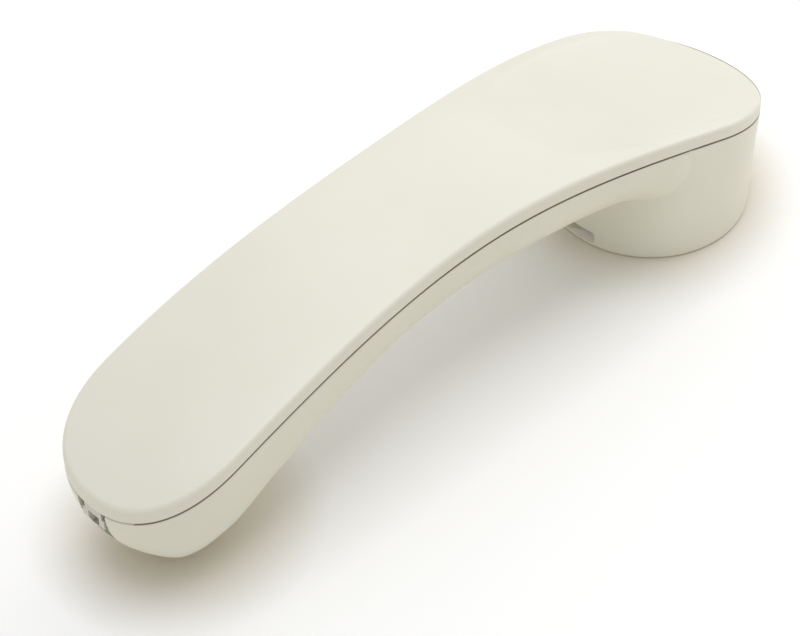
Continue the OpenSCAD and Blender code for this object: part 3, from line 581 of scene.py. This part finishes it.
arch = np.concatenate([
    [[-HOOK_W / 2, HOOK_Z], [HOOK_W / 2, HOOK_Z]],
    np.stack([HOOK_W / 2 - HOOK_R + HOOK_R * np.cos(across),
              HOOK_Z + HOOK_H - HOOK_R + HOOK_R * np.sin(across)], 1),
    np.stack([-HOOK_W / 2 + HOOK_R - HOOK_R * np.sin(across),
              HOOK_Z + HOOK_H - HOOK_R + HOOK_R * np.cos(across)], 1)])
hook_x = CUP_X - CUP_R
ends = [np.column_stack([np.full(len(arch), x), arch]) for x in
        (hook_x - 1, hook_x + HOOK_DEPTH)]
mids = [np.tile(e.mean(0), (len(e), 1)) for e in ends]
worked(front_shell, "DIFFERENCE", skin("pocket", [mids[1], ends[1], ends[0], mids[0]]))
worked(front_shell, "DIFFERENCE",
       block("socket_window", (-HALF_L - 1, -SOCKET_W / 2, SOCKET_LOW),
             (SOCKET_DEPTH - HALF_L, SOCKET_W / 2, SEAM_CREST)))
finished(front_shell, cover_plastic, "handset", "front_cover")
dirtied_and_shaded(front_shell)

# ---- Cover screws ----
# Two zinc-plated self-tapping screws with domed cross heads, driven up through the front
# cover's bosses into the back cover. They are turned and rolled, and so have fine rings.


def metal(name, light, dark, rough, drift, stretch, score):
    """Metal whose brightness and gloss vary along fine lines: noise drawn out by stretch, a
    scale per metre for each direction, with a fine score of that height in millimetres."""
    material, tree, shader, place = new_finish(name)
    shader.inputs["Metallic"].default_value = 1
    drawn = tree.nodes.new("ShaderNodeMapping")
    drawn.inputs["Scale"].default_value = stretch
    tree.links.new(place, drawn.inputs["Vector"])
    lines = tree.nodes.new("ShaderNodeTexNoise")
    lines.inputs["Scale"].default_value = 1
    lines.inputs["Detail"].default_value = 4
    tree.links.new(drawn.outputs["Vector"], lines.inputs["Vector"])
    tinted(tree, shader, lines.outputs["Fac"], dark, light, 0.3, 0.7)
    polished(tree, shader, lines.outputs["Fac"], rough, drift)
    dented(tree, shader, lines.outputs["Fac"], score)
    return material


def dressed(material, *names):
    """Gives the CAD pieces of these names one finish."""
    for name in names:
        nodes[name].data.materials.clear()
        nodes[name].data.materials.append(material)


screw_steel = metal("screw_steel", (0.7, 0.7, 0.69), (0.52, 0.52, 0.53), 0.32, 0.08,
                    (900, 900, 4000), 0.01)
dressed(screw_steel, "cover_screws", "receiver_clamp_screws")

# ---- Cord socket ----
# A modular socket moulded in a slightly greyer plastic stands in a window of the mouth tip.
# Four gold-flashed spring wires cross it, held in a black carrier, with tinned tails behind.
socket_plastic = moulded("socket_plastic", (0.66, 0.65, 0.58), (0.62, 0.6, 0.53), 0.38, 0.05,
                         0.004, 0.001)
black_plastic = moulded("black_plastic", (0.035, 0.035, 0.035), (0.02, 0.02, 0.02), 0.45,
                        0.06, 0.003, 0.002)
contact_metal = metal("contact_metal", (0.9, 0.68, 0.3), (0.78, 0.56, 0.22), 0.22, 0.05,
                      (300, 6000, 6000), 0.004)
tinned_metal = metal("tinned_metal", (0.78, 0.78, 0.77), (0.6, 0.6, 0.6), 0.3, 0.08,
                     (1500, 1500, 1500), 0.008)
dressed(socket_plastic, "cord_socket_housing")
dressed(black_plastic, "cord_socket_carrier")
dressed(contact_metal, "cord_socket_contacts")
dressed(tinned_metal, "cord_socket_tails", "receiver_lugs")

# ---- Microphone ----
# An electret capsule in a drawn aluminium can sits in a moulded rubber boot behind a disc of
# fine woven cloth, in the bore over the mouth's sound holes.


def woven(name, light, dark, threads):
    """Woven cloth: two sets of bands at right angles, threads per metre, raise the yarns and
    shade them, with a noise that makes the yarns uneven."""
    material, tree, shader, place = new_finish(name)
    shader.inputs["Roughness"].default_value = 0.9
    shader.inputs["Sheen Weight"].default_value = 0.3
    yarns = []
    for axis in ("X", "Y"):
        bands = tree.nodes.new("ShaderNodeTexWave")
        bands.bands_direction = axis
        bands.inputs["Scale"].default_value = threads / math.tau
        bands.inputs["Distortion"].default_value = 0.6
        tree.links.new(place, bands.inputs["Vector"])
        yarns.append(bands.outputs["Fac"])
    crossing = tree.nodes.new("ShaderNodeMath")
    crossing.operation = "MULTIPLY"
    tree.links.new(yarns[0], crossing.inputs[0])
    tree.links.new(yarns[1], crossing.inputs[1])
    tinted(tree, shader, crossing.outputs["Value"], dark, light)
    dented(tree, shader, crossing.outputs["Value"], 0.06)
    return material


black_cloth = woven("black_cloth", (0.045, 0.045, 0.045), (0.008, 0.008, 0.008), 9000)
boot_rubber = moulded("boot_rubber", (0.05, 0.05, 0.05), (0.03, 0.03, 0.03), 0.62, 0.06,
                      0.01, 0.004)
mic_can = metal("mic_can", (0.82, 0.82, 0.82), (0.66, 0.66, 0.67), 0.28, 0.06,
                (2500, 2500, 400), 0.006)
dressed(black_cloth, "microphone_cloth", "receiver_cloth")
dressed(boot_rubber, "microphone_boot", "receiver_gasket")
dressed(mic_can, "microphone_capsule")

# ---- Receiver ----
# The receiver is stacked on the ear face: gasket, front plate, fibre ring, film diaphragm,
# copper voice coil, basket and magnet with its plated steel, under a clamp with two screws.
# The film's dome moves with the coil; the surround beyond it rides on no body.


def pored(name, light, dark, rough, pore, depth):
    """Foam or pressed fibre: cells of that size in millimetres shade and dent the surface."""
    material, tree, shader, place = new_finish(name)
    shader.inputs["Roughness"].default_value = rough
    cells = tree.nodes.new("ShaderNodeTexVoronoi")
    cells.inputs["Scale"].default_value = 1 / (pore * MM)
    tree.links.new(place, cells.inputs["Vector"])
    tinted(tree, shader, cells.outputs["Distance"], dark, light)
    dented(tree, shader, cells.outputs["Distance"], depth)
    return material


def wound(name, light, dark, turns):
    """Enamelled winding: bands up the coil, turns per metre, shade and round each turn."""
    material, tree, shader, place = new_finish(name)
    shader.inputs["Metallic"].default_value = 0.8
    shader.inputs["Roughness"].default_value = 0.3
    shader.inputs["Coat Weight"].default_value = 0.6
    bands = tree.nodes.new("ShaderNodeTexWave")
    bands.bands_direction = "Z"
    bands.inputs["Scale"].default_value = turns / math.tau
    tree.links.new(place, bands.inputs["Vector"])
    tinted(tree, shader, bands.outputs["Fac"], dark, light)
    dented(tree, shader, bands.outputs["Fac"], 0.03)
    return material


FILM_LINE = np.array([
    (0, 1.5), (3, 1.35), (5.5, 0.9), (7.2, 0.4), (8.4, 0.2), (10, 0.65), (11.2, 0.8),
    (12.4, 0.65), (13.9, 0), (15.6, 0)])
FILM_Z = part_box("receiver_diaphragm")[0].z / MM
FILM_T = 0.2
FILM_CREST = 11.2
FILM_RINGS, FILM_SIDES = 24, 96
receiver_plate = metal("receiver_plate", (0.74, 0.74, 0.75), (0.6, 0.6, 0.61), 0.34, 0.07,
                       (300, 3000, 3000), 0.006)
fibre_board = pored("fibre_board", (0.42, 0.27, 0.14), (0.3, 0.18, 0.09), 0.7, 0.35, 0.02)
film = moulded("film", (0.75, 0.73, 0.66), (0.7, 0.68, 0.6), 0.18, 0.04, 0.004, 0.0005)
copper = wound("copper", (0.8, 0.42, 0.22), (0.5, 0.24, 0.11), 9000)
magnet = metal("magnet", (0.3, 0.3, 0.32), (0.2, 0.2, 0.22), 0.42, 0.08,
               (2000, 2000, 2000), 0.01)
motor_steel = metal("motor_steel", (0.66, 0.66, 0.63), (0.5, 0.5, 0.48), 0.3, 0.07,
                    (2500, 2500, 600), 0.008)
suppressor_blue = moulded("suppressor_blue", (0.1, 0.16, 0.42), (0.07, 0.12, 0.34), 0.3,
                          0.05, 0.01, 0.003)
dressed(receiver_plate, "receiver_front_plate")
dressed(fibre_board, "receiver_spacer_ring", "receiver_terminal_board")


def film_part(name, inner, outer):
    """Part of the diaphragm between two radii: the film's underside through its stations of
    radius and height, turned round the ear cup's axis, and the same line raised by the film's
    thickness. A part that starts at the axis closes on it."""
    r = np.linspace(inner, outer, FILM_RINGS)
    z = FILM_Z + through(FILM_LINE, r)
    profile = [*zip(r, z + FILM_T), *zip(r[::-1], z[::-1])]
    a = np.linspace(0, 2 * np.pi, FILM_SIDES, endpoint=False)
    return skin(name, [np.stack([CUP_X + d * np.cos(a), d * np.sin(a),
                                 np.full(FILM_SIDES, h)], 1) for d, h in profile],
                closed=inner > 0)


finished(film_part("diaphragm_dome", 0, FILM_CREST), film, "voice_coil",
         "receiver_diaphragm")
surround = film_part("diaphragm_surround", FILM_CREST, FILM_LINE[-1, 0])
finished(surround, film, None, "receiver_diaphragm")
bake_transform(surround)
dressed(copper, "receiver_voice_coil")
dressed(black_plastic, "receiver_basket")
dressed(magnet, "receiver_magnet")
dressed(motor_steel, "receiver_pole_plate", "receiver_yoke")
dressed(suppressor_blue, "click_suppressor")
dressed(cover_plastic, "receiver_clamp")

# ---- Ballast ----
# A sawn mild-steel bar on a strip of foam gives the handset its weight; the back cover's two
# ribs press it down.
ballast_steel = metal("ballast_steel", (0.46, 0.46, 0.47), (0.32, 0.33, 0.34), 0.4, 0.1,
                      (120, 3500, 3500), 0.02)
foam = pored("foam", (0.1, 0.1, 0.1), (0.02, 0.02, 0.02), 0.95, 0.6, 0.15)
dressed(ballast_steel, "ballast_bar")
dressed(foam, "ballast_pad")

# ---- Leads ----
# Four stranded leads in coloured plastic insulation run from the socket to the microphone and
# along the grip to the receiver.
for node_name, light, deep in (
        ("black", (0.03, 0.03, 0.03), (0.02, 0.02, 0.02)),
        ("yellow", (0.8, 0.62, 0.08), (0.7, 0.52, 0.05)),
        ("red", (0.55, 0.06, 0.05), (0.45, 0.04, 0.035)),
        ("green", (0.08, 0.36, 0.14), (0.05, 0.28, 0.1))):
    dressed(moulded("insulation_" + node_name, light, deep, 0.4, 0.06, 0.01, 0.003),
            "lead_" + node_name)

# ---- Table, light and camera ----
# The handset lies on a plain white table, lit softly from above and from beyond the ear end
# and its far corner. The table's camera colour has painted shade, darker and warmer where
# something stands close; PAPER_LIT is the white that it throws back on the handset.
FLOOR_SIZE = 4.0
PAPER_LIT = (0.95, 0.925, 0.85)
PAPER_OPEN = (1.0, 1.0, 1.0)
PAPER_PAINTED_SHADE = (0.74, 0.68, 0.56)
PAINTED_SHADE_REACH, PAINTED_SHADE_SHARE, OPEN_SHARE = 20.0, 0.35, 0.98
ROOM_LIGHT = 0.56
LAMP_SIZE = 0.8
LAMP_AIM = Vector((0, 0, 0.02))
LAMPS = (("top", (0, 0, 1.2), 5.25), ("ear_end", (1.04, 0, 0.6), 2.5),
         ("ear_corner", (0.6, 0.6, 0.85), 1.7))
CAMERA_UP, CAMERA_ROUND = math.radians(44.77), math.radians(43.83)
CAMERA_ROLL = math.radians(1.18)
CAMERA_AWAY = 0.65
CAMERA_AIM = Vector((-0.00085, 0.01175, 0))
LENS, SENSOR = 121.3, 36
floor_mesh = bpy.data.meshes.new("table")
s = FLOOR_SIZE / 2
floor_mesh.from_pydata([(-s, -s, 0), (s, -s, 0), (s, s, 0), (-s, s, 0)], [], [(0, 1, 2, 3)])
table_top = bpy.data.objects.new("table", floor_mesh)
bpy.context.collection.objects.link(table_top)
paper = bpy.data.materials.new("white_paper")
paper.use_nodes = True
tree = paper.node_tree
tree.nodes.remove(tree.nodes["Principled BSDF"])
lit = tree.nodes.new("ShaderNodeBsdfDiffuse")
lit.inputs["Color"].default_value = (*PAPER_LIT, 1)
# Painted shade on the table: occlusion darkens and warms the colour the camera sees near the
# handset.
near = tree.nodes.new("ShaderNodeAmbientOcclusion")
near.samples = 16
near.inputs["Distance"].default_value = PAINTED_SHADE_REACH * MM
shades = tree.nodes.new("ShaderNodeValToRGB")
shades.color_ramp.elements[0].position = PAINTED_SHADE_SHARE
shades.color_ramp.elements[0].color = (*PAPER_PAINTED_SHADE, 1)
shades.color_ramp.elements[1].position = OPEN_SHARE
shades.color_ramp.elements[1].color = (*PAPER_OPEN, 1)
tree.links.new(near.outputs["AO"], shades.inputs["Fac"])
shown = tree.nodes.new("ShaderNodeBsdfDiffuse")
tree.links.new(shades.outputs["Color"], shown.inputs["Color"])
light_path = tree.nodes.new("ShaderNodeLightPath")
to_camera = tree.nodes.new("ShaderNodeMixShader")
tree.links.new(light_path.outputs["Is Camera Ray"], to_camera.inputs["Fac"])
tree.links.new(lit.outputs["BSDF"], to_camera.inputs[1])
tree.links.new(shown.outputs["BSDF"], to_camera.inputs[2])
tree.links.new(to_camera.outputs["Shader"], tree.nodes["Material Output"].inputs["Surface"])
floor_mesh.materials.append(paper)

world = bpy.data.worlds.new("studio")
bpy.context.scene.world = world
world.use_nodes = True
tree = world.node_tree
background = tree.nodes["Background"]
background.inputs["Color"].default_value = (1, 1, 1, 1)
background.inputs["Strength"].default_value = ROOM_LIGHT
white = tree.nodes.new("ShaderNodeBackground")
white.inputs["Strength"].default_value = 1
light_path = tree.nodes.new("ShaderNodeLightPath")
choice = tree.nodes.new("ShaderNodeMixShader")
seen = light_path.outputs["Is Camera Ray"]
for ray in ("Is Glossy Ray", "Is Transmission Ray"):
    either = tree.nodes.new("ShaderNodeMath")
    either.operation = "MAXIMUM"
    tree.links.new(seen, either.inputs[0])
    tree.links.new(light_path.outputs[ray], either.inputs[1])
    seen = either.outputs["Value"]
tree.links.new(seen, choice.inputs["Fac"])
tree.links.new(background.outputs["Background"], choice.inputs[1])
tree.links.new(white.outputs["Background"], choice.inputs[2])
tree.links.new(choice.outputs["Shader"], tree.nodes["World Output"].inputs["Surface"])


def softbox(name, place, watts):
    """A square area lamp turned to the middle of the handset."""
    data = bpy.data.lights.new(name, "AREA")
    data.size = LAMP_SIZE
    data.energy = watts
    lamp = bpy.data.objects.new(name, data)
    bpy.context.collection.objects.link(lamp)
    lamp.location = place
    lamp.rotation_mode = "QUATERNION"
    lamp.rotation_quaternion = (LAMP_AIM - Vector(place)).to_track_quat("-Z", "Y")


for lamp_name, place, watts in LAMPS:
    softbox(lamp_name, place, watts)

data = bpy.data.cameras.new("camera")
data.lens = LENS
data.sensor_width = SENSOR
camera = bpy.data.objects.new("camera", data)
bpy.context.collection.objects.link(camera)
back = Vector((-math.cos(CAMERA_UP) * math.sin(CAMERA_ROUND),
               -math.cos(CAMERA_UP) * math.cos(CAMERA_ROUND), math.sin(CAMERA_UP)))
camera.location = CAMERA_AIM + CAMERA_AWAY * back
camera.rotation_mode = "QUATERNION"
camera.rotation_quaternion = (-back).to_track_quat("-Z", "Y") @ Quaternion(
    (0, 0, 1), -CAMERA_ROLL)
bpy.context.scene.camera = camera
bpy.context.scene.view_settings.view_transform = "Standard"
